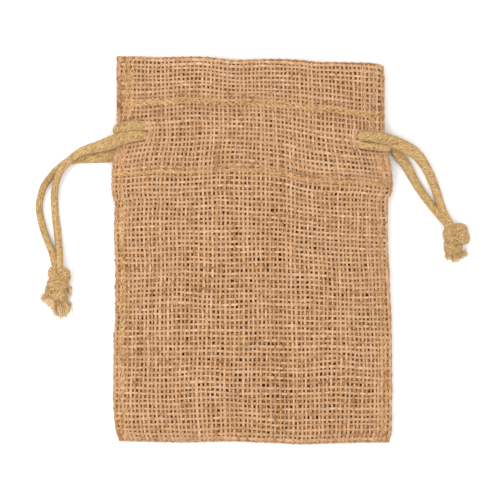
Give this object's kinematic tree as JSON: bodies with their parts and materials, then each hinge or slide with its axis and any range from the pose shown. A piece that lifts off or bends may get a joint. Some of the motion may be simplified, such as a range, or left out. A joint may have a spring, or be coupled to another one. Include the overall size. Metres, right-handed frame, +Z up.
{
  "type": "drawstring gift pouch",
  "caption": "Flat open-weave jute pouch with a header, a stitched casing and a knotted drawcord pulling out of each side of the mouth.",
  "frame": {"origin": "middle of the pouch's outline, on the surface that it lies on, under the back", "axes": "+X to the viewer's right across the pouch, +Y from the bottom fold to the mouth, +Z up out of the front"},
  "size_m": [0.2021, 0.18, 0.0153],
  "materials": {
    "jute_cloth": "open plain weave of natural jute yarns, matt, slightly hairy",
    "jute_hem": "turned-in layers of the same jute weave, in shade",
    "sewing_thread": "golden lockstitch thread, slight sheen",
    "cotton_cord": "soft twisted cord in golden khaki, matt, frayed at the ends"
  },
  "bodies": {
    "pouch": {"front_panel": "jute_cloth", "back_panel": "jute_cloth", "bottom_fold": "jute_cloth", "front_hem": "jute_hem", "back_hem": "jute_hem", "left_seam_allowance": "jute_hem", "right_seam_allowance": "jute_hem", "front_upper_stitch": "sewing_thread", "front_lower_stitch": "sewing_thread", "back_upper_stitch": "sewing_thread", "back_lower_stitch": "sewing_thread", "left_seam_thread": "sewing_thread", "right_seam_thread": "sewing_thread", "left_far_loop": "cotton_cord", "right_far_loop": "cotton_cord"},
    "left_cord": {"left_casing_cord": "cotton_cord"},
    "left_tail": {"left_tail": "cotton_cord", "left_knot": "cotton_cord", "left_tassel": "cotton_cord"},
    "right_cord": {"right_casing_cord": "cotton_cord"},
    "right_tail": {"right_tail": "cotton_cord", "right_knot": "cotton_cord", "right_tassel": "cotton_cord"}
  },
  "joints": [
    {"name": "left_cord_pull", "type": "slide", "parent": "pouch", "child": "left_cord", "axis": [-1, 0, 0], "range_m": [0, 0.06], "deforming": ["left_casing_cord"]},
    {"name": "left_tail_swing", "type": "hinge", "parent": "left_cord", "child": "left_tail", "pos_m": [-0.076, 0.0449, 0.004], "axis": [0, 0, -1], "range_deg": [-12, 75]},
    {"name": "right_cord_pull", "type": "slide", "parent": "pouch", "child": "right_cord", "axis": [1, 0, 0], "range_m": [0, 0.06], "deforming": ["right_casing_cord"]},
    {"name": "right_tail_swing", "type": "hinge", "parent": "right_cord", "child": "right_tail", "pos_m": [0.0717, 0.0446, 0.004], "axis": [0, 0, 1], "range_deg": [-25, 60]}
  ]
}
